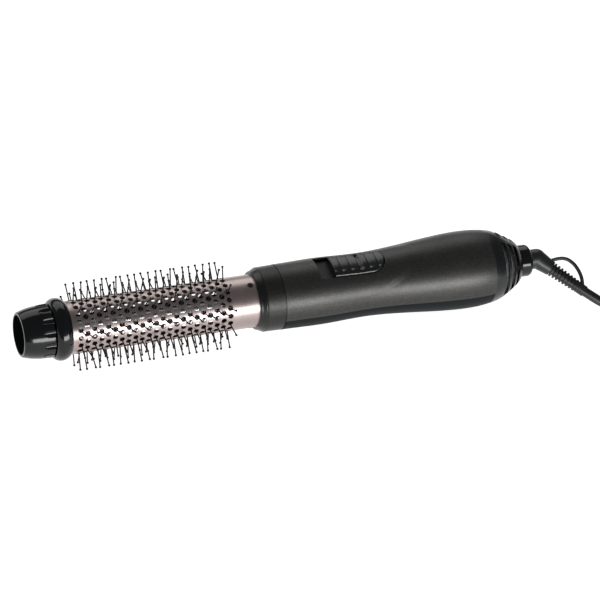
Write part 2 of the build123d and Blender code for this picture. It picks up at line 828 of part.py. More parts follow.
def contact_leaves():
    """Two pairs of leaf blocks that bear on the slip rings."""
    leaves = []
    inner = slip_ring_radius + leaf_gap
    room = ring(slip_ring_start() - 5, dome_end, carrier_radius - carrier_wall, inner)
    for number in range(2):
        station = slip_ring_start() + slip_ring_length / 2 + number * (slip_ring_length + 1.5)
        for side in (-1, 1):
            leaf = Pos(station, 0, side * 8) * Box(1.6, 3, 10)
            leaves.append(leaf & room)
    return Compound(children=leaves)


# ---- swivel -------------------------------------------------------------------------------------
def neck_front():
    return dome_end - rear_plate - 1.2 - 0.3


def slip_ring_start():
    return neck_front() - retainer_thickness - 10.5


def swivel_collar():
    """The gloss collar behind the grille, turning on a neck that a flange holds from inside."""
    start = dome_end + collar_gap
    rounded = ThreePointArc((swivel_end - 2.6, swivel_radius), (swivel_end - 0.75, swivel_radius - 0.75),
                            (swivel_end, swivel_radius - 2.6))
    rest = Polyline(
        (swivel_end, swivel_radius - 2.6), (swivel_end, 0), (neck_front() - retainer_thickness - 12, 0),
        (neck_front() - retainer_thickness - 12, spindle_radius), (neck_front() - retainer_thickness, spindle_radius),
        (neck_front() - retainer_thickness, retainer_radius), (neck_front(), retainer_radius),
        (neck_front(), neck_radius), (start, neck_radius), (start, swivel_radius), (swivel_end - 2.6, swivel_radius))
    return turned(rounded, rest)


def slip_rings():
    rings = []
    for number in range(2):
        start = slip_ring_start() + number * (slip_ring_length + 1.5)
        rings.append(ring(start, start + slip_ring_length, slip_ring_radius, spindle_radius))
    return Compound(children=rings)


bend_point = Vector(elbow_bend, 0, 0)
side_angle = radians(elbow_side)
outlet = Vector(
    cos(radians(elbow_angle)),
    -sin(radians(elbow_angle)) * sin(side_angle),
    -sin(radians(elbow_angle)) * cos(side_angle))
relief_start = bend_point + outlet * elbow_tail
sleeve_start = relief_start + outlet * relief_length
cord_start = sleeve_start + outlet * sleeve_length


def outlet_plane(origin):
    """A plane across the outlet with its x towards the hanging loop."""
    upright = (Vector(0, 0, 1) - outlet * outlet.Z).normalized()
    toward = upright.rotate(Axis((0, 0, 0), outlet), -loop_roll)
    return Plane(origin, x_dir=toward, z_dir=outlet)


def along_outlet(origin, start, length, radius, end_radius=None):
    """A cylinder or cone along the outlet, from start to start + length behind origin."""
    align = (Align.CENTER, Align.CENTER, Align.MIN)
    if end_radius is None:
        body = Cylinder(radius, length, align=align)
    else:
        body = Cone(radius, end_radius, length, align=align)
    return outlet_plane(origin + outlet * start) * body


def cord_elbow():
    """The bent cord outlet: a straight stub, a round knee and a tapered tail."""
    stub = ring(swivel_end, elbow_bend, elbow_radius)
    knee = Pos(elbow_bend, 0, 0) * Sphere(elbow_radius) & ring(swivel_end, elbow_bend + 20, 2 * elbow_radius)
    return stub + knee + along_outlet(bend_point, 0, elbow_tail, elbow_radius, elbow_end_radius)


def strain_relief():
    """The tapered row of rings round a core, with the smooth sleeve behind."""
    body = along_outlet(relief_start, 0, relief_length, relief_core)
    pitch = relief_length / relief_rings
    for number in range(relief_rings):
        share = number / (relief_rings - 1)
        radius = relief_start_radius + (relief_end_radius - relief_start_radius) * share
        body += along_outlet(relief_start, pitch * (number + 0.5) - relief_ring_length / 2, relief_ring_length, radius)
    return body + along_outlet(sleeve_start, 0, sleeve_length, sleeve_radius)


def hanging_loop():
    """The moulded loop from the elbow's end over the relief to the sleeve."""
    plane = outlet_plane(bend_point)
    reach = elbow_tail + relief_length + 3.2
    local = [
        (elbow_end_radius - 1.5, elbow_tail - 3.4), (loop_rise - 1.3, elbow_tail + 1.5),
        (loop_rise, elbow_tail + 10.0), (loop_rise - 3.3, reach - 2.2), (sleeve_radius - 1.5, reach)]
    points = [plane.from_local_coords((rise, 0, run)) for rise, run in local]
    path = FilletPolyline(*points, radius=[3.0, 8.0, 3.0])
    section = Plane(origin=path @ 0, z_dir=path % 0) * Circle(loop_radius)
    strand = sweep(section, path=path)
    return strand - [cord_elbow(), strain_relief()]


# ---- cord and plug ------------------------------------------------------------------------------
def cord_tube(points):
    """A tube of straight runs and tangent arcs. Each arc is as large as its two runs allow."""
    places = [Vector(*point) for point in points]
    radii = []
    for before, here, after in zip(places, places[1:], places[2:]):
        first, second = here - before, after - here
        half_turn = radians(first.get_angle(second)) / 2
        radii.append(0.45 * min(first.length, second.length) / tan(half_turn))
    path = FilletPolyline(*places, radius=radii)
    section = Plane(origin=path @ 0, z_dir=path % 0) * Circle(cord_radius)
    tube = sweep(section, path=path)
    share = tube.volume / (pi * cord_radius ** 2 * path.length)
    print("cord radii", [round(radius, 1) for radius in radii], "length", round(path.length, 1),
          "volume share", round(share, 4))
    return tube


def hank_tie(floor):
    """The strap round the middle of the hank."""
    width = 2 * (hank_side + cord_radius)
    height = 2 * cord_radius * hank_layers
    corner = 0.9 * cord_radius
    section = RectangleRounded(width + 2 * tie_thickness, height + tie_thickness, corner + tie_thickness / 2)
    section -= RectangleRounded(width, height - tie_thickness, corner)
    middle = Plane((hank_centre[0] - tie_width / 2, hank_centre[1], floor), x_dir=(0, 1, 0), z_dir=(1, 0, 0))
    return extrude(middle * Pos(0, (height + tie_thickness) / 2) * section, tie_width)


def hank_solid(floor):
    """The hank's outer shape on the surface: two straight runs and two round folds of one rounded section."""
    width = 2 * cord_radius * hank_columns
    height = 2 * cord_radius * hank_layers
    line = (hank_fold + hank_side) / 2
    section = Pos(line, height / 2) * RectangleRounded(width, height, 0.9 * cord_radius)
    fold = revolve(Plane.XZ * section, Axis.Z, revolution_arc=180)
    run = extrude(Plane.XZ * section, hank_run)
    half = Pos(0, hank_run / 2, 0) * (fold + run)
    body = half + Rot(0, 0, 180) * half
    return Pos(*hank_centre, floor) * Rot(0, 0, -90) * body


def lead_points(floor):
    """The route from the sleeve to the hank's outer turn: down along the outlet, then over the surface."""
    rest = floor + cord_radius + 0.05
    landing = cord_start + outlet * ((cord_start.Z - rest) / -outlet.Z)
    side = hank_centre[1] - hank_side
    return [tuple(cord_start), tuple(landing), (lead_bend, side, rest), (lead_end, side, rest)]


def plug_tail(floor):
    """Where the plug's cord leaves its body, and the heading of its pins."""
    return Vector(*plug_place, floor + plug_height / 2)


def plug_lead_points(floor):
    """The route from the middle column of the hank's top layer, over its fold and down to the plug."""
    top = floor + (2 * hank_layers - 1) * cord_radius
    side = hank_centre[1] - hank_side + 2 * cord_radius
    tail = plug_tail(floor)
    return [(plug_lead_start, side, top), (plug_lead_edge, side, top), (*plug_bend, tail.Z), tuple(tail)]


def plug_frame(floor):
    """The plane across the plug's cord end, looking along its pins."""
    start = Vector(*plug_bend, plug_tail(floor).Z)
    return Plane(plug_tail(floor), x_dir=(0, 0, 1), z_dir=plug_tail(floor) - start)


def plug_body(floor):
    """A moulded two-pole plug: a round-ended face with side grooves, a waist for the fingers, a cord boot."""
    frame = plug_frame(floor)
    boot = loft([frame * Circle(cord_radius + 1.2), frame.offset(plug_boot) * Circle(cord_radius + 3.0)])
    waist = RectangleRounded(plug_height - 7, plug_width - 13, plug_height / 2 - 4)
    face = RectangleRounded(plug_height, plug_width, plug_height / 2 - 1)
    neck = loft([frame.offset(plug_boot) * Circle(cord_radius + 3.0), frame.offset(plug_waist) * waist])
    shoulder = loft([frame.offset(plug_waist) * waist, frame.offset(plug_shoulder) * face])
    front = extrude(frame.offset(plug_shoulder) * face, plug_face - plug_shoulder)
    body = boot + neck + shoulder + front
    for side in (-1, 1):
        groove = Pos(side * plug_height / 2, 0, plug_face) * Box(5.0, 7.0, 2 * (plug_face - plug_shoulder) - 4)
        body -= frame * groove
    return body


def plug_pins(floor):
    """Two round pins with domed ends."""
    pins = []
    for side in (-0.5, 0.5):
        straight = plug_pin_length - plug_pin_radius
        pin = Cylinder(plug_pin_radius, straight, align=(Align.CENTER, Align.CENTER, Align.MIN))
        pin += Pos(0, 0, straight) * Sphere(plug_pin_radius)
        pin -= Pos(0, 0, -5) * Box(10, 10, 10)
        pins.append(plug_frame(floor).offset(plug_face) * Pos(0, side * plug_pin_spacing, 0) * pin)
    return Compound(children=pins)


# ---- the whole brush ----------------------------------------------------------------------------
def brush_nodes():
    """Every node of the brush itself by name, about its axis with x from the nose face."""
    shell, outer, inner = housing_shell()
    nodes = {
        "nose_end_disc": nose_end_disc(), "nose_knob": nose_knob(), "knob_shaft": knob_shaft(),
        "front_scroll_plate": scroll_plate(front_scroll), "rear_scroll_plate": scroll_plate(rear_scroll),
        "shaft_clip": shaft_clip(), "nose_flange": nose_flange(), "barrel": barrel(),
        "barrel_screws": barrel_screws(), "front_guide": front_guide_disc(), "rear_guide": rear_guide_disc(),
        "barrel_collar": barrel_collar(), "front_ring": front_ring(),
        "upper_housing": upper_housing(shell, outer), "lower_housing": lower_housing(shell, inner),
        "housing_screws": housing_screws(), "switch_button": switch_button(), "switch_slider": switch_slider(),
        "switch_block": switch_block(), "heater_tube": heater_tube(), "heater_former": heater_former(),
        "heater_winding": heater_winding(), "thermostat": thermostat(), "motor": motor(),
        "motor_mount": motor_mount(inner), "fan": fan(), "rectifier_board": rectifier_board(),
        "rear_grille": rear_grille(), "filter_mesh": filter_mesh(), "contact_carrier": contact_carrier(),
        "contact_leaves": contact_leaves(), "swivel_collar": swivel_collar(), "slip_rings": slip_rings(),
        "cord_elbow": cord_elbow(), "strain_relief": strain_relief(), "hanging_loop": hanging_loop()}
    for number in range(bar_count):
        nodes[f"bristle_bar_{number + 1:02d}"] = bristle_bar(number)
    return nodes


def cord_nodes(floor):
    """The free cord's nodes, lying on a surface at height floor."""
    tie = hank_tie(floor)
    hank = hank_solid(floor) - tie
    return {
        "cord_lead": cord_tube(lead_points(floor)) - hank, "cord_hank": hank, "cord_tie": tie,
        "plug_lead": cord_tube(plug_lead_points(floor)) - hank,
        "plug_body": plug_body(floor), "plug_pins": plug_pins(floor)}


def main():
    os.makedirs("parts", exist_ok=True)
    nodes = brush_nodes()
    bounds = [shape.bounding_box() for shape in nodes.values()]
    floor = min(box.min.Z for box in bounds)
    middle_x = (min(box.min.X for box in bounds) + max(box.max.X for box in bounds)) / 2
    middle_y = (min(box.min.Y for box in bounds) + max(box.max.Y for box in bounds)) / 2
    print("axis height", round(-floor, 4), "origin behind the nose", round(middle_x, 4), "side", round(middle_y, 4))
    nodes.update(cord_nodes(floor))
    for name, shape in nodes.items():
        export_step(Pos(-middle_x, -middle_y, -floor) * shape, f"parts/{name}.step")
        print(name, len(shape.solids()), round(shape.volume, 1))


if __name__ == "__main__":
    main()
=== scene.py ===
"""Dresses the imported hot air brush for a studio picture.

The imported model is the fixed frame. This script adds the free cord, the hanging loop's strand and
the slide button with its scalloped ribs, gives every piece its finish, and sets the floor, the
lights and the camera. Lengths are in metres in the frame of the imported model: +X from the nose to
the cord, +Z up, z = 0 the surface that the brush lies on.
"""
from math import cos, pi, radians, sin

import bpy
import numpy as np
from mathutils import Matrix, Vector


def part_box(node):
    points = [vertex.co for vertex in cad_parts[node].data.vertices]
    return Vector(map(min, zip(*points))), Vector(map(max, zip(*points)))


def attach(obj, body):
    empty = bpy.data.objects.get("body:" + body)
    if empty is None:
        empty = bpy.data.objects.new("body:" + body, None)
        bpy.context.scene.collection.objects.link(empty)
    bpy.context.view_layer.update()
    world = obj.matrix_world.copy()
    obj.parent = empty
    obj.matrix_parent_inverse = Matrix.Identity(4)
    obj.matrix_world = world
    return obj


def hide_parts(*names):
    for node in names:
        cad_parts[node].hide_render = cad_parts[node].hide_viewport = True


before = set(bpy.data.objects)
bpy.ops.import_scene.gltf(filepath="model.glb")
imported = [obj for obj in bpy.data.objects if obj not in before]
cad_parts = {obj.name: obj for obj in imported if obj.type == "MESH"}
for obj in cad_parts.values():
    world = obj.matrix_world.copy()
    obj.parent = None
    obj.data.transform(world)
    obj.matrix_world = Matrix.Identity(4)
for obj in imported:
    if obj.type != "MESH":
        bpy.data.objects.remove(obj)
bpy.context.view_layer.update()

bl_info = {
    "name": "Hot air brush dressing",
    "version": (1, 0, 0),
    "blender": (4, 5, 0),
    "location": "3D View > Sidebar > Brush",
    "description": "Cord, loop, button, finishes and studio stage for the packed hot air brush",
    "category": "Object",
}

# The nose face lies this far in front of the barrel.
BARREL_START = 0.023
NOSE_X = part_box("barrel")[0].x - BARREL_START
AXIS_HEIGHT = sum(corner.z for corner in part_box("nose_flange")) / 2

# Where the barrel's heat tint grows and where the switch recess lies, along the brush from the nose
# face, and the recess's rim as a radius.
HEAT_TINT = (0.028, 0.140)
RECESS = (0.1842, 0.2278)
RECESS_RIM = 0.0191
# The grip ends in a tongue: its tip from the nose face, how far its edge comes forward for the turn
# squared, where the crease's step down starts and ends about that edge, between which turns in
# radians the crease fades out, and its depth.
TONGUE_TIP, TONGUE_BEND = 0.2421, 0.0179
CREASE_SLOPE, CREASE_FADE, CREASE_DEPTH = (-0.001, 0.0062), (0.75, 1.3), 0.00042


# ---- material nodes written as expressions ------------------------------------------------------
class Value:
    """A socket of a finish. Its operators add Math nodes, so 0.1 + mask * 0.4 is written as it reads."""

    def __init__(self, finish, socket):
        self.finish, self.socket = finish, socket

    def math(self, operation, *values):
        return self.finish.node("ShaderNodeMath", {"operation": operation}, dict(enumerate(values)))

    def __add__(self, other):
        return self.math("ADD", self, other)

    def __sub__(self, other):
        return self.math("SUBTRACT", self, other)

    def __mul__(self, other):
        return self.math("MULTIPLY", self, other)

    def __pow__(self, other):
        return self.math("POWER", self, other)

    def __gt__(self, other):
        return self.math("GREATER_THAN", self, other)

    def __lt__(self, other):
        return self.math("LESS_THAN", self, other)

    __radd__ = __add__

    def size(self):
        return self.math("ABSOLUTE", self)

    def wave(self):
        return self.math("SINE", self)

    def larger(self, other):
        return self.math("MAXIMUM", self, other)


class Finish:
    """A material being built: its Principled shader, and one method that adds any other node."""

    def __init__(self, name):
        self.material = bpy.data.materials.new(name)
        self.material.use_nodes = True
        self.tree = self.material.node_tree
        self.shader = self.tree.nodes["Principled BSDF"]

    def node(self, kind, settings=None, inputs=None, output=0):
        """Adds a node of a type, sets it up, and gives its sockets their values or links."""
        node = self.tree.nodes.new(kind)
        for key, value in (settings or {}).items():
            setattr(node, key, value)
        for key, value in (inputs or {}).items():
            self.feed(node.inputs[key], value)
        return Value(self, node.outputs[output])

    def feed(self, socket, value):
        """Links a socket to a value, or sets it to a constant."""
        if isinstance(value, Value):
            self.tree.links.new(value.socket, socket)
        else:
            socket.default_value = (*value, 1.0) if socket.type == "RGBA" else value

    def shade(self, **values):
        """Sets or links the Principled shader's sockets, named with _ for a space."""
        for key, value in values.items():
            self.feed(self.shader.inputs[key.replace("_", " ")], value)
        return self.material

    def place(self):
        """Object coordinates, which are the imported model's own frame."""
        return self.node("ShaderNodeTexCoord", output="Object")

    def parts(self, vector):
        """The three components of a vector."""
        split = self.node("ShaderNodeSeparateXYZ", None, {"Vector": vector}).socket.node
        return [Value(self, socket) for socket in split.outputs]

    def noise(self, scale, detail, roughness, vector=None, distortion=0.0):
        """Smooth noise from 0 to 1, with `scale` waves to a metre of the place or of another vector."""
        inputs = {"Vector": vector or self.place(), "Scale": scale, "Detail": detail, "Roughness": roughness,
                  "Distortion": distortion}
        return self.node("ShaderNodeTexNoise", None, inputs, "Fac")

    def cells(self, scale):
        """Distance to the nearest of scattered points, in cells of which `scale` make a metre."""
        return self.node("ShaderNodeTexVoronoi", None, {"Vector": self.place(), "Scale": scale}, "Distance")

    def around_axis(self):
        """Distance along the brush, turn about its axis in radians, and radius."""
        along, side, height = self.parts(self.place())
        up = height - AXIS_HEIGHT
        turn = side.math("ARCTAN2", side * -1.0, up)
        radius = (side * side + up * up) ** 0.5
        return along, turn, radius

    def ramp(self, value, low, high, from_low=0.0, from_high=1.0):
        """A number taken from one range to another, held at the ends."""
        inputs = {"Value": value, "From Min": from_low, "From Max": from_high, "To Min": low, "To Max": high}
        return self.node("ShaderNodeMapRange", {"clamp": True}, inputs)

    def mask(self, value, low, high):
        """Nought up to low, rising to one at high."""
        return self.ramp(value, 0.0, 1.0, low, high)

    def blend(self, factor, first, second):
        """A colour between two, by a factor."""
        inputs = {0: factor, 6: first, 7: second}
        return self.node("ShaderNodeMix", {"data_type": "RGBA"}, inputs, 2)

    def bump(self, height, distance, strength=1.0, under=None):
        """A normal for a height, of which one stands for so many metres, laid over another normal."""
        inputs = {"Height": height, "Distance": distance, "Strength": strength}
        if under is not None:
            inputs["Normal"] = under
        return self.node("ShaderNodeBump", None, inputs)


def tint(colour, amount):
    """A colour made lighter or darker."""
    return tuple(channel * amount for channel in colour)


def dress(material, slot, *nodes):
    """Puts a finish on CAD nodes."""
    for name in nodes:
        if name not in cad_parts:
            raise RuntimeError(f"the packed model has no node {name}")
        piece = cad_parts[name]
        if not piece.material_slots:
            piece.data.materials.append(None)
        for place in piece.material_slots:
            place.material = material


# ---- finishes -----------------------------------------------------------------------------------
# Colours of the details. Then the height above the board's lowest point from which its bodies are
# dark, the scale of tool marks, the usual grain's depth and scale, and how dark the front ring's
# paint is against the housing's.
HEATED = (0.32, 0.255, 0.243)
DUST = (0.09, 0.09, 0.095)
GLINT = (0.42, 0.41, 0.39)
# Near black of the switch recess: partly its floor's own dark tone, partly painted shade of the recess.
RECESS_BLACK_AND_SHADE = (0.017, 0.0175, 0.018)
MICA_PALE, MICA_DARK = (0.66, 0.56, 0.38), (0.40, 0.31, 0.18)
GAUZE_GAP, GAUZE_WIRE = (0.004, 0.004, 0.004), (0.45, 0.45, 0.46)
LAMINATE, TRACK, BOARD_BODY = (0.020, 0.095, 0.040), (0.10, 0.26, 0.09), (0.018, 0.018, 0.020)
BOARD_TOP = 0.00175
TOOL_MARKS = 700.0
GRAIN = 0.00002
GRAIN_SCALE = 2600.0
RING_SHADE = 0.65


def barrel_finish(look):
    """Tinted titanium skin: brushed round the barrel, so its noise is stretched along each turn."""
    metal = Finish("barrel_titanium")
    along, turn = metal.around_axis()[:2]
    lines = metal.node("ShaderNodeCombineXYZ", None, {"X": along * 2600.0, "Y": turn * 1.6, "Z": 0.0})
    brushed = metal.noise(1.0, detail=4.0, roughness=0.62, vector=lines)
    cloudy = metal.noise(46.0, detail=3.0, roughness=0.55)
    heat = metal.mask(along, *(NOSE_X + place for place in HEAT_TINT))
    tone = metal.blend(metal.mask(brushed, 0.35, 0.68), tint(look.barrel_colour, 0.90),
                       tint(look.barrel_colour, 1.06))
    tone = metal.blend(metal.ramp(cloudy, 0.0, 0.16, 0.45, 0.75) + heat * 0.05, tone, HEATED)
    rough = metal.ramp(brushed, -0.035, 0.045, 0.3, 0.7) + metal.ramp(cloudy, -0.02, 0.03, 0.4, 0.7)
    relief = metal.bump(brushed + cloudy * 0.3, 0.000012, 0.5)
    return metal.shade(Base_Color=tone, Metallic=1.0, Roughness=rough + look.barrel_roughness, Normal=relief)


def gloss_finish(look):
    """Piano-black moulded plastic, with the faint swirls and dust that such a surface shows."""
    gloss = Finish("gloss_black")
    swirl = gloss.noise(900.0, detail=2.0, roughness=0.6, distortion=0.4)
    haze = gloss.noise(70.0, detail=3.0, roughness=0.5)
    dust = gloss.cells(2400.0) < 0.045
    tone = gloss.blend(gloss.mask(haze, 0.35, 0.7), look.black_colour, tint(look.black_colour, 1.6))
    tone = gloss.blend(dust * 0.25, tone, DUST)
    rough = gloss.ramp(haze, 0.10, 0.17, 0.4, 0.7) + gloss.ramp(swirl, 0.0, 0.03, 0.55, 0.8) + dust * 0.25
    return gloss.shade(Base_Color=tone, Roughness=rough, Specular_IOR_Level=0.36,
                       Normal=gloss.bump(haze, 0.00002, 0.25))


def grained_finish(name, colour, roughness, grain=GRAIN, grain_scale=GRAIN_SCALE, sheen=0.5):
    """Moulded plastic with a spark-eroded grain: fine cells for the bump, slow noise for the gloss.

    The sheen is the strength of its reflections.
    """
    plastic = Finish(name)
    pits = plastic.cells(grain_scale)
    fine = plastic.noise(grain_scale * 1.7, detail=2.0, roughness=0.6)
    slow = plastic.noise(55.0, detail=3.0, roughness=0.5)
    tone = plastic.blend(plastic.mask(fine + slow * 0.6, 0.55, 1.05), tint(colour, 0.82), tint(colour, 1.22))
    rough = plastic.ramp(slow, roughness - 0.03, roughness + 0.03, 0.35, 0.7)
    relief = plastic.bump(pits + fine * 0.4, grain, 0.6)
    return plastic.shade(Base_Color=tone, Roughness=rough, Specular_IOR_Level=sheen, Normal=relief)


def paint_finish(name, colour, roughness):
    """Dark metallic paint of tiny flakes under a satin lacquer. The switch recess is near black: its dark
    floor and painted shade.

    The grip's tongue ends in a crease: a step down towards the cord, on a line that comes forward
    with the square of the turn about the axis. It fades out round the sides.
    """
    paint = Finish(name)
    along, turn, radius = paint.around_axis()
    recess = (radius < RECESS_RIM) * (along > NOSE_X + RECESS[0]) * (along < NOSE_X + RECESS[1])
    tongue = along + turn * turn * TONGUE_BEND - (NOSE_X + TONGUE_TIP)
    flake = paint.cells(3000.0)
    flake_tone = paint.noise(2300.0, detail=2.0, roughness=0.7)
    slow = paint.noise(38.0, detail=3.0, roughness=0.5)
    tone = paint.blend(paint.mask(flake_tone, 0.38, 0.66), tint(colour, 0.58), tint(colour, 1.55))
    glint = (flake < 0.10) * paint.mask(flake_tone, 0.5, 0.7)
    tone = paint.blend(glint * 0.35, tone, GLINT)
    # Painted shade: the switch recess is made near black, partly for its dark floor, partly for the shade in
    # it.
    tone = paint.blend(recess, tone, RECESS_BLACK_AND_SHADE)
    rough = paint.ramp(slow, roughness - 0.03, roughness + 0.04, 0.35, 0.7) - glint * 0.12
    crease = paint.ramp(tongue, 1.0, 0.0, *CREASE_SLOPE) * paint.ramp(turn.size(), 1.0, 0.0, *CREASE_FADE)
    relief = paint.bump(flake, 0.000014, 0.5, under=paint.bump(crease, CREASE_DEPTH))
    # Fully metallic in the recess, so its near-black colour also dims its reflections there: painted shade.
    return paint.shade(Base_Color=tone, Metallic=0.78 + recess * 0.22, Roughness=rough, Coat_Weight=0.05,
                       Coat_Roughness=0.3, Normal=relief)


def metal_finish(name, colour, roughness):
    """Worked metal: the colour clouds a little and the tool marks run round the axis."""
    metal = Finish(name)
    along, turn, radius = metal.around_axis()
    marks = metal.node("ShaderNodeCombineXYZ", None,
                       {"X": along * TOOL_MARKS * 3.0, "Y": turn * 2.0, "Z": radius * TOOL_MARKS})
    worked = metal.noise(1.0, detail=3.0, roughness=0.6, vector=marks)
    cloudy = metal.noise(120.0, detail=3.0, roughness=0.5)
    tone = metal.blend(metal.mask(worked + cloudy, 0.7, 1.25), tint(colour, 0.78), tint(colour, 1.08))
    rough = metal.ramp(cloudy, roughness - 0.05, roughness + 0.08, 0.35, 0.7)
    relief = metal.bump(worked, 0.00001, 0.4)
    return metal.shade(Base_Color=tone, Metallic=1.0, Roughness=rough, Normal=relief)


def mica_finish(name):
    """Pressed mica board: pale flakes in a tan binder with a pearly sheen."""
    mica = Finish(name)
    flakes = mica.cells(420.0)
    fine = mica.noise(900.0, detail=4.0, roughness=0.6)
    tone = mica.blend(mica.mask(flakes + fine * 0.4, 0.25, 0.9), MICA_PALE, MICA_DARK)
    return mica.shade(Base_Color=tone, Roughness=mica.ramp(flakes, 0.32, 0.55, 0.1, 0.7), Coat_Weight=0.2,
                      Normal=mica.bump(flakes, 0.00003, 0.4))


def mesh_finish():
    """Woven filter gauze: two crossing sine waves in turn and length make the wires and the dark gaps.

    One wave runs with the turn about the axis, and the other with the length and radius added up, so
    that both the gauze's end and its side get wires.
    """
    gauze = Finish("filter_gauze")
    along, turn, radius = gauze.around_axis()
    warp = (turn * 150.0).wave().size()
    weft = ((along + radius) * 5200.0).wave().size()
    wire = gauze.mask(warp.larger(weft), 0.72, 0.86)
    tone = gauze.blend(wire, GAUZE_GAP, GAUZE_WIRE)
    return gauze.shade(Base_Color=tone, Metallic=wire * 0.9, Roughness=gauze.ramp(wire, 0.7, 0.34),
                       Normal=gauze.bump(warp + weft, 0.00012, 0.7))


def board_finish():
    """The control board's green laminate, the dark bodies on it and the bright tracks between them."""
    board = Finish("board_laminate")
    up = board.parts(board.place())[2]
    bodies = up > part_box("rectifier_board")[0].z + BOARD_TOP
    tracks = (board.noise(320.0, detail=0.0, roughness=0.5) - 0.5).size() < 0.018
    tone = board.blend(tracks, LAMINATE, TRACK)
    tone = board.blend(bodies, tone, BOARD_BODY)
    return board.shade(Base_Color=tone, Roughness=board.ramp(bodies, 0.30, 0.42),
                       Normal=board.bump(tracks, 0.00003, 0.5))


def rubber_finish(look):
    """Black flexible compound with a soft bloom, fine moulding specks and lighter handling marks."""
    rubber = Finish("cord_rubber")
    specks = rubber.noise(3200.0, detail=3.0, roughness=0.65)
    bloom = rubber.noise(60.0, detail=4.0, roughness=0.55)
    tone = rubber.blend(rubber.mask(bloom, 0.4, 0.72), look.rubber_colour, tint(look.rubber_colour, 1.9))
    rough = rubber.ramp(bloom, 0.30, 0.44, 0.35, 0.7) + rubber.ramp(specks, 0.0, 0.06, 0.5, 0.75)
    return rubber.shade(Base_Color=tone, Roughness=rough, Normal=rubber.bump(specks, 0.000025, 0.5))


# ---- the lines of the loop and the cord ---------------------------------------------------------
def from_nose(x, y, z):
    """A point given from the nose face and the surface, in millimetres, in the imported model's frame."""
    return (NOSE_X + x / 1000, y / 1000, z / 1000)


# The loop's strand: its radius in metres, and its points in millimetres.
LOOP_RADIUS = 0.00115
LOOP_LINE = [(336.77, -3.37, 25.28), (340.9, -3.39, 26.78), (347.29, -4.74, 27.77), (351.73, -8.3, 25.84),
             (354.38, -12.72, 22.38), (355.45, -16.84, 18.65), (354.89, -19.45, 15.83)]

# The cord's points and its hank, in millimetres from the nose face. The hank's turns are straight
# runs between half-round folds. They lie in columns side by side, and in layers one pitch apart.
CORD_EXIT = from_nose(355.585, -21.984, 13.549)
CORD_LEAD = [(376.6, -40.2, 3.05), (412.0, -42.5, 3.05)]
HANK_CENTRE = (438.0, -12.5)
HANK_RUN = 42.0
HANK_FOLD = 18.0
HANK_COLUMNS = 3
HANK_TURNS = 10
PITCH = 6.0
FOLD_STEPS = 8
PLUG_LEAD = [(484.0, -36.5, 21.05), (508.0, -30.0, 13.0), (523.0, -30.0, 13.0)]
NEAR_RUN = 0.1


def hank_points():
    """Control points of the put-away turns: straight runs joined by half-round folds, outer column first.

    A turn has two folds of eight steps and a point in the middle of each run. The angle grows by an
    eighth of a half turn for each step in a fold and stands still along a run. Each turn keeps its
    column until past the far run, then moves one column over, or one layer up at a layer's end.
    Inside a fold the points stand 2 % further out, because a quadratic spline on them runs that
    much nearer to the middle. Where the angle's cosine is nearly nought, a point is on a run.
    """
    whole = 2 * FOLD_STEPS + 4
    step = np.arange(HANK_TURNS * whole + 1)
    turn, place = step // whole, step % whole
    near, far = place - 1, place - FOLD_STEPS - 3
    angle = pi / FOLD_STEPS * (np.clip(near, 0, FOLD_STEPS) + np.clip(far, 0, FOLD_STEPS)) - pi / 2
    side = np.where(place == 0, 0.0, np.where(near <= FOLD_STEPS, 1.0, np.where(far < 0, 0.0, -1.0)))
    moved = np.clip((place - FOLD_STEPS - 2) / (FOLD_STEPS / 2 + 1), 0.0, 1.0)
    column, height = [], []
    for number in (turn, turn + 1):
        layer, order = number // HANK_COLUMNS, number % HANK_COLUMNS
        column.append(np.where(layer % 2 == 0, order, HANK_COLUMNS - 1 - order))
        height.append(layer * PITCH)
    radius = HANK_FOLD + PITCH * (HANK_COLUMNS - 1 - column[0] - (column[1] - column[0]) * moved)
    radius *= np.where(np.abs(np.cos(angle)) > NEAR_RUN, 4 / (3 + cos(pi / FOLD_STEPS)), 1.0)
    up = CORD_LEAD[-1][2] + height[0] + (height[1] - height[0]) * moved
    along = HANK_CENTRE[0] + side * HANK_RUN / 2 + radius * np.cos(angle)
    return np.stack([along, HANK_CENTRE[1] + radius * np.sin(angle), up], 1) / 1000 + (NOSE_X, 0.0, 0.0)


def smooth_line(name, points, radius):
    """A round cord along a quadratic NURBS line. Its bevel of one metre is scaled by its points' radius."""
    curve = bpy.data.curves.new(name, "CURVE")
    curve.dimensions = "3D"
    line = curve.splines.new("NURBS")
    line.points.add(len(points) - 1)
    line.points.foreach_set("co", np.column_stack([points, np.ones(len(points))]).ravel())
    line.points.foreach_set("radius", np.full(len(points), radius))
    line.order_u = 3
    line.use_endpoint_u = True
    line.resolution_u = 6
    curve.bevel_depth = 1.0
    curve.bevel_resolution = 5
    curve.use_fill_caps = True
    piece = bpy.data.objects.new(name, curve)
    bpy.context.scene.collection.objects.link(piece)
    return piece


def length_of(points):
    """Length of the line through points, in their unit."""
    return float(np.linalg.norm(np.diff(points, axis=0), axis=1).sum())


def points_along(piece):
    """The points of a curve's own line, read with its bevel off."""
    depth, piece.data.bevel_depth = piece.data.bevel_depth, 0.0
    mesh = bpy.data.meshes.new_from_object(piece.evaluated_get(bpy.context.evaluated_depsgraph_get()))
    places = np.empty(len(mesh.vertices) * 3)
    mesh.vertices.foreach_get("co", places)
    bpy.data.meshes.remove(mesh)
    piece.data.bevel_depth = depth
    return places.reshape(-1, 3)


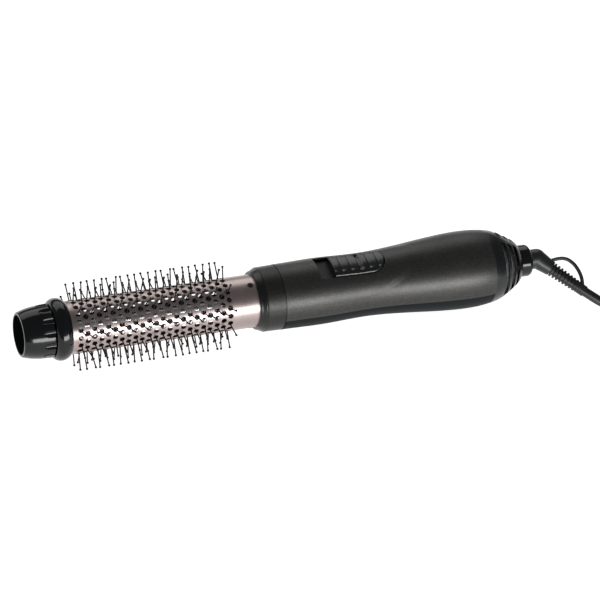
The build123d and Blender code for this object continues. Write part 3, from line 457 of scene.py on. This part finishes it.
# ---- the slide button ---------------------------------------------------------------------------
# In millimetres: places along the brush from the nose face, heights above the axis, and sizes. Then
# the rows and columns of its face, the last row's angle, and the angle from which edges are sharp.
BUTTON_START, BUTTON_CENTRE, BUTTON_HALF = 193.8, 218.0, 9.1
BUTTON_FLOOR, BUTTON_EDGE, BUTTON_PROUD = 15.9, 0.9, 0.84
STEM_ALONG, STEM_ACROSS, STEM_FLOOR, STEM_TOP = (206.95, 213.95), (-1.5, 1.5), 13.5, 16.0
RIB_MIDDLE, RIB_PITCH, RIB_DEPTH = 209.6, 5.9, 0.95
RIB_END, RIB_FADE = 7.4, 2.6
SCALLOP_RISE = 0.2
LIP_HEIGHT, LIP_WIDTH = 0.15, 0.6
VALLEY_DEPTH, VALLEY_WIDTH, VALLEY_AFTER = 1.1, 1.3, 1.3
EDGE_ROWS, STRAIGHT_ROWS, ROUND_ROWS, COLUMNS = 7, 150, 70, 61
LAST_TURN = 1.54
SHARP = radians(50)
# The handle's radius at places along it.
HANDLE_LINE = np.array([(187.6, 20.193), (194.33, 20.017), (201.05, 19.746), (207.77, 19.501), (214.5, 19.4),
                        (221.22, 19.526), (227.94, 19.852)])


def button_face(along, side, inside):
    """Height of the button's ribbed face above the axis, in millimetres, where it is `inside` from its edge.

    The face lies on a circle: the root of (R + proud) squared less the side place squared, with R the
    handle's radius there. With u the place between two ribs, a scallop drops behind each rib and rises
    slowly to the next: depth times (1 - u) to the power 1.5, times u / 0.2 up to one. A bell curve
    makes each rib's lip, and another the deep valley in the middle. All fade to nothing towards the
    sides, by 3 f squared less 2 f cubed. The edge is a quarter round: r less the root of r squared
    less (r - inside) squared.
    """
    radius = np.polyval(np.polyfit(*HANDLE_LINE.T, 4), along) + BUTTON_PROUD
    between = (along - RIB_MIDDLE) / RIB_PITCH % 1.0
    fade = np.clip((RIB_END - np.abs(side)) / RIB_FADE, 0.0, 1.0)
    fade = fade * fade * (3 - 2 * fade)
    scallop = RIB_DEPTH * (1 - between) ** 1.5 * np.clip(between / SCALLOP_RISE, 0.0, 1.0)
    lip = LIP_HEIGHT * np.exp(-(np.minimum(between, 1 - between) * RIB_PITCH / LIP_WIDTH) ** 2)
    valley = VALLEY_DEPTH * np.exp(-((along - RIB_MIDDLE - VALLEY_AFTER) / VALLEY_WIDTH) ** 2)
    short = BUTTON_EDGE - np.clip(inside, 0.0, BUTTON_EDGE)
    rounding = BUTTON_EDGE - np.sqrt(BUTTON_EDGE ** 2 - short ** 2)
    return np.sqrt(radius ** 2 - side ** 2) - (scallop + valley - lip) * fade - rounding


def button_grid():
    """Points of the button's face, row by row along the brush: straight sides, then half round at the rear.

    The rows stand closer towards the edges, by the cosine and sine of even angles. The last row is
    just short of the tip, so that it keeps a width.
    """
    edge = BUTTON_START + BUTTON_EDGE * (1 - np.cos(np.linspace(0, pi / 2, EDGE_ROWS)[:-1]))
    straight = np.linspace(BUTTON_START + BUTTON_EDGE, BUTTON_CENTRE, STRAIGHT_ROWS)[:-1]
    round_end = BUTTON_CENTRE + BUTTON_HALF * np.sin(np.linspace(0, LAST_TURN, ROUND_ROWS))
    along = np.concatenate([edge, straight, round_end])[:, None]
    past = np.clip(along - BUTTON_CENTRE, 0.0, None)
    side = np.sqrt(BUTTON_HALF ** 2 - past ** 2) * np.sin(np.linspace(-pi / 2, pi / 2, COLUMNS))[None, :]
    inside = np.minimum(BUTTON_HALF - np.hypot(past, side), along - BUTTON_START)
    along = np.broadcast_to(along, side.shape)
    return np.stack([along, side, button_face(along, side, inside)], -1)


def stem_grid():
    """The four corners of the stem that carries the button, at its top."""
    along, side = np.meshgrid(STEM_ALONG, STEM_ACROSS, indexing="ij")
    return np.stack([along, side, np.full(along.shape, STEM_TOP)], -1)


def slab(top, floor):
    """Points and faces of a closed body between a grid of points and one height below it."""
    under = top.copy()
    under[..., 2] = floor
    count = top.shape[0] * top.shape[1]
    index = np.arange(count).reshape(top.shape[:2])
    quads = np.stack([index[:-1, :-1], index[1:, :-1], index[1:, 1:], index[:-1, 1:]], -1).reshape(-1, 4)
    rim = np.concatenate([index[0, :-1], index[:-1, -1], index[-1, :0:-1], index[:0:-1, 0]])
    ahead = np.roll(rim, -1)
    walls = np.stack([rim, ahead, ahead + count, rim + count], -1)
    points = np.concatenate([top.reshape(-1, 3), under.reshape(-1, 3)])
    return points, np.concatenate([quads, quads[:, ::-1] + count, walls])


def solid_piece(name, *bodies):
    """One object of several closed bodies, given in millimetres from the nose face and the axis."""
    points, faces, first = [], [], 0
    for places, quads in bodies:
        points.append(places / 1000 + (NOSE_X, 0.0, AXIS_HEIGHT))
        faces.append(quads + first)
        first += len(places)
    mesh = bpy.data.meshes.new(name)
    mesh.from_pydata(np.concatenate(points), [], np.concatenate(faces).tolist())
    mesh.polygons.foreach_set("use_smooth", np.ones(len(mesh.polygons), bool))
    mesh.set_sharp_from_angle(angle=SHARP)
    piece = bpy.data.objects.new(name, mesh)
    bpy.context.scene.collection.objects.link(piece)
    return piece


# ---- what a user may change ---------------------------------------------------------------------
class BrushLook(bpy.types.PropertyGroup):
    """Colours and finishes of the brush."""

    barrel_colour: bpy.props.FloatVectorProperty(
        name="Barrel tint", description="Colour of the barrel's titanium skin", subtype="COLOR", size=3,
        min=0.0, max=1.0, default=(0.405, 0.338, 0.322))
    barrel_roughness: bpy.props.FloatProperty(
        name="Barrel roughness", description="How soft the barrel's reflections are", subtype="FACTOR",
        min=0.05, max=0.8, default=0.33)
    black_colour: bpy.props.FloatVectorProperty(
        name="Gloss black", description="Colour of the gloss plastic", subtype="COLOR", size=3,
        min=0.0, max=1.0, default=(0.0022, 0.0026, 0.0032))
    paint_colour: bpy.props.FloatVectorProperty(
        name="Handle paint", description="Colour of the metallic paint on the upper housing", subtype="COLOR",
        size=3, min=0.0, max=1.0, default=(0.046, 0.0455, 0.044))
    paint_roughness: bpy.props.FloatProperty(
        name="Paint roughness", description="How soft the paint's reflections are", subtype="FACTOR",
        min=0.05, max=0.9, default=0.42)
    base_colour: bpy.props.FloatVectorProperty(
        name="Lower housing", description="Colour of the unpainted lower housing", subtype="COLOR", size=3,
        min=0.0, max=1.0, default=(0.008, 0.0095, 0.0105))
    rubber_colour: bpy.props.FloatVectorProperty(
        name="Cord", description="Colour of the cord and its strain relief", subtype="COLOR", size=3,
        min=0.0, max=1.0, default=(0.0055, 0.006, 0.0068))


class BrushCord(bpy.types.PropertyGroup):
    """The cord's own size."""

    diameter: bpy.props.FloatProperty(
        name="Diameter", description="Outer diameter of the cord", subtype="DISTANCE", unit="LENGTH",
        min=0.004, max=0.009, default=0.006)


class BrushStage(bpy.types.PropertyGroup):
    """Camera, light and floor."""

    azimuth: bpy.props.FloatProperty(
        name="Azimuth", description="Turn of the camera about the brush", subtype="ANGLE", unit="ROTATION",
        default=radians(-24.4278))
    elevation: bpy.props.FloatProperty(
        name="Elevation", description="Height of the camera above the horizon", subtype="ANGLE",
        unit="ROTATION", default=radians(40.7285))
    roll: bpy.props.FloatProperty(
        name="Roll", description="Turn of the camera about its own line of sight", subtype="ANGLE",
        unit="ROTATION", default=radians(8.0762))
    distance: bpy.props.FloatProperty(
        name="Distance", description="From the camera to the middle of the brush", subtype="DISTANCE",
        unit="LENGTH", default=2.4)
    lens: bpy.props.FloatProperty(
        name="Lens", description="Focal length in millimetres on a 36 mm sensor", default=239.42)
    across: bpy.props.FloatProperty(
        name="Across", description="Camera moved to the left by this much", subtype="DISTANCE", unit="LENGTH",
        default=0.0027)
    lift: bpy.props.FloatProperty(
        name="Lift", description="Camera moved down by this much", subtype="DISTANCE", unit="LENGTH",
        default=0.0043)
    middle: bpy.props.FloatProperty(
        name="Middle", description="Place that the camera looks at, from the nose face", subtype="DISTANCE",
        unit="LENGTH", default=0.1788)
    key_power: bpy.props.FloatProperty(
        name="Front light", description="Power of the large soft light in front", subtype="POWER",
        unit="POWER", default=8.0)
    top_power: bpy.props.FloatProperty(
        name="Top light", description="Power of the soft light above and behind", subtype="POWER",
        unit="POWER", default=4.8)
    sky: bpy.props.FloatProperty(
        name="Room light", description="Strength of the even light from all round", subtype="FACTOR",
        min=0.0, max=1.0, default=0.15)
    floor_lift: bpy.props.FloatProperty(
        name="Floor lift", description="How far the floor is lifted towards white where it is seen",
        subtype="FACTOR", min=0.0, max=1.0, default=0.85)
    floor_colour: bpy.props.FloatVectorProperty(
        name="Floor", description="Colour of the floor", subtype="COLOR", size=3, min=0.0, max=1.0,
        default=(0.86, 0.86, 0.865))


# ---- operators ----------------------------------------------------------------------------------
class BRUSH_OT_barrel(bpy.types.Operator):
    """Gives the perforated barrel and its screws their metal"""

    bl_idname = "brush.barrel"
    bl_label = "Barrel"

    def execute(self, context):
        look = context.scene.brush_look
        dress(barrel_finish(look), "barrel_metal", "barrel")
        screws = metal_finish("oxide_steel", colour=(0.05, 0.05, 0.053), roughness=0.42)
        dress(screws, "screw_steel", "barrel_screws", "housing_screws")
        return {"FINISHED"}


class BRUSH_OT_nose(bpy.types.Operator):
    """Gives the knob, the end flange and the swivel collar their gloss black, and the disc a matt one"""

    bl_idname = "brush.nose"
    bl_label = "Nose"

    def execute(self, context):
        gloss = gloss_finish(context.scene.brush_look)
        dress(gloss, "black_gloss", "nose_knob", "nose_flange", "swivel_collar")
        dish = grained_finish("dish_black", colour=(0.006, 0.0062, 0.0066), roughness=0.6, sheen=0.0)
        dress(dish, "black_gloss", "nose_end_disc")
        return {"FINISHED"}


class BRUSH_OT_bristles(bpy.types.Operator):
    """Gives the bars with their ball-tipped pins a moulded nylon finish"""

    bl_idname = "brush.bristles"
    bl_label = "Bristles"

    def execute(self, context):
        nylon = grained_finish("bristle_nylon", colour=(0.006, 0.0055, 0.0058), roughness=0.36, grain=0.00001,
                               grain_scale=5200.0, sheen=0.35)
        bars = sorted(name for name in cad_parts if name.startswith("bristle_bar"))
        dress(nylon, "nylon", *bars)
        return {"FINISHED"}


class BRUSH_OT_housing(bpy.types.Operator):
    """Paints the upper housing and front ring, and finishes the lower housing, the collar and the guides"""

    bl_idname = "brush.housing"
    bl_label = "Handle"

    def execute(self, context):
        look = context.scene.brush_look
        paint = paint_finish("handle_paint", look.paint_colour, look.paint_roughness)
        dress(paint, "handle_paint", "upper_housing")
        ring = paint_finish("ring_paint", tint(look.paint_colour, RING_SHADE), look.paint_roughness)
        dress(ring, "handle_paint", "front_ring")
        base = grained_finish("handle_base", look.base_colour, roughness=0.5, grain=0.00003,
                              grain_scale=2100.0, sheen=0.06)
        dress(base, "handle_base", "lower_housing")
        collar = grained_finish("collar_black", colour=(0.003, 0.0036, 0.0042), roughness=0.3, sheen=0.4)
        dress(collar, "collar_black", "barrel_collar", "front_guide", "rear_guide", "contact_carrier",
              "front_scroll_plate", "rear_scroll_plate")
        return {"FINISHED"}


class BRUSH_OT_switch(bpy.types.Operator):
    """Makes the slide button with its scalloped ribs, and finishes the switch and the motor's mount"""

    bl_idname = "brush.switch"
    bl_label = "Switch"

    def execute(self, context):
        satin = grained_finish("switch_button", colour=(0.0035, 0.004, 0.0046), roughness=0.24, grain=0.00001,
                               grain_scale=3000.0, sheen=0.6)
        dress(satin, "black_gloss", "switch_button")
        button = solid_piece("ribbed_button", slab(button_grid(), BUTTON_FLOOR),
                             slab(stem_grid(), STEM_FLOOR))
        button.data.materials.append(satin)
        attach(button, "switch")
        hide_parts("switch_button")
        black = grained_finish("switch_black", colour=(0.022, 0.022, 0.024), roughness=0.5)
        dress(black, "switch_black", "switch_slider", "switch_block", "motor_mount")
        return {"FINISHED"}


class BRUSH_OT_grille(bpy.types.Operator):
    """Finishes the rear grille and the gauze behind its slots"""

    bl_idname = "brush.grille"
    bl_label = "Rear grille"

    def execute(self, context):
        grille = grained_finish("grille_black", colour=(0.0045, 0.005, 0.006), roughness=0.27, grain=0.000015,
                                grain_scale=2800.0, sheen=0.45)
        dress(grille, "black_gloss", "rear_grille")
        dress(mesh_finish(), "mesh_steel", "filter_mesh")
        return {"FINISHED"}


class BRUSH_OT_inside(bpy.types.Operator):
    """Finishes the shaft, the heater, the blower and the contacts"""

    bl_idname = "brush.inside"
    bl_label = "Inside"

    def execute(self, context):
        steel = metal_finish("turned_steel", colour=(0.55, 0.56, 0.58), roughness=0.30)
        dress(steel, "steel", "knob_shaft", "shaft_clip", "motor")
        dress(mica_finish("mica_board"), "mica", "heater_former")
        dress(mica_finish("mica_paper"), "mica_tube", "heater_tube")
        wire = metal_finish("heater_wire", colour=(0.42, 0.39, 0.36), roughness=0.45)
        dress(wire, "wire", "heater_winding")
        case = metal_finish("cutout_case", colour=(0.74, 0.74, 0.73), roughness=0.35)
        dress(case, "cutout_case", "thermostat")
        fan = grained_finish("fan_plastic", colour=(0.07, 0.07, 0.075), roughness=0.45)
        dress(fan, "fan_plastic", "fan")
        dress(board_finish(), "board_green", "rectifier_board")
        brass = metal_finish("contact_brass", colour=(0.70, 0.50, 0.21), roughness=0.30)
        dress(brass, "brass", "contact_leaves", "slip_rings")
        return {"FINISHED"}


class BRUSH_OT_cord(bpy.types.Operator):
    """Lays the cord from the strain relief to its plug, makes the loop's strand, and finishes the fittings"""

    bl_idname = "brush.cord"
    bl_label = "Cord"

    def execute(self, context):
        rubber = rubber_finish(context.scene.brush_look)
        dress(rubber, "cord_rubber", "cord_elbow", "strain_relief", "hanging_loop", "plug_body", "cord_lead",
              "cord_hank", "plug_lead")
        strap = grained_finish("strap_rubber", colour=(0.03, 0.03, 0.032), roughness=0.55)
        dress(strap, "strap", "cord_tie")
        loop = smooth_line("loop_strand", [from_nose(*point) for point in LOOP_LINE], LOOP_RADIUS)
        loop.data.materials.append(rubber)
        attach(loop, "swivel")
        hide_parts("hanging_loop")
        nickel = metal_finish("plug_nickel", colour=(0.72, 0.71, 0.68), roughness=0.22)
        dress(nickel, "nickel", "plug_pins")
        diameter = context.scene.brush_cord.diameter
        lead_in = [CORD_EXIT, *(from_nose(*point) for point in CORD_LEAD)]
        lead_out = [from_nose(*point) for point in PLUG_LEAD]
        points = np.vstack([lead_in, hank_points(), lead_out])
        lead = smooth_line("mains_cord", points, diameter / 2)
        lead.data.materials.append(rubber)
        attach(lead, "swivel")
        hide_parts("cord_lead", "cord_hank", "plug_lead")
        length = length_of(points_along(lead))
        return {"FINISHED"}


# Places of the lights from the middle of the brush, and their width and height, in metres.
FRONT_LIGHT_PLACE, FRONT_LIGHT_SIZE = Vector((0.10, -0.85, 0.095)), (0.9, 0.22)
TOP_LIGHT_PLACE, TOP_LIGHT_SIZE = Vector((-0.05, 0.80, 0.62)), (1.5, 0.7)
FLOOR_HALF, FLOOR_DROP = 4.0, 0.0004
SENSOR_WIDTH = 36.0
CAMERA_REACH = 50.0


class BRUSH_OT_stage(bpy.types.Operator):
    """Sets the floor, the room light, the two soft lights and the camera"""

    bl_idname = "brush.stage"
    bl_label = "Stage"

    def execute(self, context):
        stage = context.scene.brush_stage
        context.scene.view_settings.view_transform = "Standard"
        self.room(context.scene, stage)
        self.floor(stage)
        middle = Vector((NOSE_X + stage.middle, 0.0, AXIS_HEIGHT))
        self.soft_light("front_light", middle, FRONT_LIGHT_PLACE, FRONT_LIGHT_SIZE, stage.key_power)
        self.soft_light("top_light", middle, TOP_LIGHT_PLACE, TOP_LIGHT_SIZE, stage.top_power)
        self.camera(context.scene, stage, middle)
        return {"FINISHED"}

    def room(self, scene, stage):
        """A dim even studio on all sides, which leaves the gloss black between the lights."""
        world = bpy.data.worlds.new("room")
        world.use_nodes = True
        background = world.node_tree.nodes["Background"]
        background.inputs["Color"].default_value = (1.0, 1.0, 1.0, 1.0)
        background.inputs["Strength"].default_value = stage.sky
        scene.world = world

    def floor(self, stage):
        """A pale floor, lifted to white for the camera, gloss and glass, so that shadows stay faint."""
        corners = FLOOR_HALF * np.array([(-1, -1), (1, -1), (1, 1), (-1, 1)])
        mesh = bpy.data.meshes.new("floor")
        mesh.from_pydata(np.column_stack([corners, np.full(4, -FLOOR_DROP)]).tolist(), [], [(0, 1, 2, 3)])
        floor = bpy.data.objects.new("floor", mesh)
        bpy.context.scene.collection.objects.link(floor)
        paper = Finish("floor_paper")
        fibre = paper.noise(240.0, detail=3.0, roughness=0.6)
        tone = paper.blend(paper.mask(fibre, 0.3, 0.7), tint(stage.floor_colour, 0.985), stage.floor_colour)
        seen = [paper.node("ShaderNodeLightPath", output=name)
                for name in ("Is Camera Ray", "Is Glossy Ray", "Is Transmission Ray")]
        glow = paper.blend(seen[0].larger(seen[1]).larger(seen[2]), (0.0, 0.0, 0.0), (1.0, 1.0, 1.0))
        mesh.materials.append(paper.shade(Base_Color=tone, Roughness=0.9, Specular_IOR_Level=0.1,
                                          Emission_Color=glow, Emission_Strength=stage.floor_lift))

    def soft_light(self, name, middle, offset, size, power):
        """A rectangular light at an offset from the middle of the brush, turned towards it."""
        lamp = bpy.data.lights.new(name, "AREA")
        lamp.shape = "RECTANGLE"
        lamp.size, lamp.size_y = size
        lamp.energy = power
        light = bpy.data.objects.new(name, lamp)
        light.location = middle + offset
        light.rotation_euler = (-offset).to_track_quat("-Z", "Y").to_euler()
        bpy.context.scene.collection.objects.link(light)

    def camera(self, scene, stage, middle):
        """Looks at the middle from azimuth, elevation and roll, moved sideways and down in its own plane."""
        azimuth, elevation, roll = stage.azimuth, stage.elevation, stage.roll
        back = Vector((sin(azimuth) * cos(elevation), -cos(azimuth) * cos(elevation), sin(elevation)))
        level = Vector((cos(azimuth), sin(azimuth), 0.0))
        upward = back.cross(level)
        right = level * cos(roll) + upward * sin(roll)
        up = upward * cos(roll) - level * sin(roll)
        lens = bpy.data.cameras.new("camera")
        lens.sensor_width = SENSOR_WIDTH
        lens.lens = stage.lens
        lens.clip_end = CAMERA_REACH
        camera = bpy.data.objects.new("camera", lens)
        turn = Matrix((right, up, back)).transposed().to_4x4()
        camera.matrix_world = Matrix.Translation(
            middle + back * stage.distance - right * stage.across - up * stage.lift) @ turn
        scene.collection.objects.link(camera)
        scene.camera = camera


class BRUSH_PT_panel(bpy.types.Panel):
    """Sizes, colours and steps of the brush's dressing"""

    bl_idname = "BRUSH_PT_panel"
    bl_label = "Hot air brush"
    bl_space_type = "VIEW_3D"
    bl_region_type = "UI"
    bl_category = "Brush"

    def draw(self, context):
        column = self.layout.column()
        for group in (context.scene.brush_look, context.scene.brush_cord, context.scene.brush_stage):
            for name in group.bl_rna.properties.keys():
                if name not in {"rna_type", "name"}:
                    column.prop(group, name)
        for step in STEPS:
            column.operator(step.bl_idname)


STEPS = (BRUSH_OT_barrel, BRUSH_OT_nose, BRUSH_OT_bristles, BRUSH_OT_housing, BRUSH_OT_switch,
         BRUSH_OT_grille, BRUSH_OT_inside, BRUSH_OT_cord, BRUSH_OT_stage)
GROUPS = {"brush_look": BrushLook, "brush_cord": BrushCord, "brush_stage": BrushStage}


def register():
    for group in GROUPS.values():
        bpy.utils.register_class(group)
    for name, group in GROUPS.items():
        setattr(bpy.types.Scene, name, bpy.props.PointerProperty(type=group))
    for step in STEPS:
        bpy.utils.register_class(step)
    bpy.utils.register_class(BRUSH_PT_panel)


def unregister():
    bpy.utils.unregister_class(BRUSH_PT_panel)
    for step in reversed(STEPS):
        bpy.utils.unregister_class(step)
    for name, group in GROUPS.items():
        delattr(bpy.types.Scene, name)
        bpy.utils.unregister_class(group)


def main():
    """Runs the operators in order."""
    register()
    for step in STEPS:
        group, name = step.bl_idname.split(".")
        getattr(getattr(bpy.ops, group), name)()


if __name__ == "__main__":
    main()
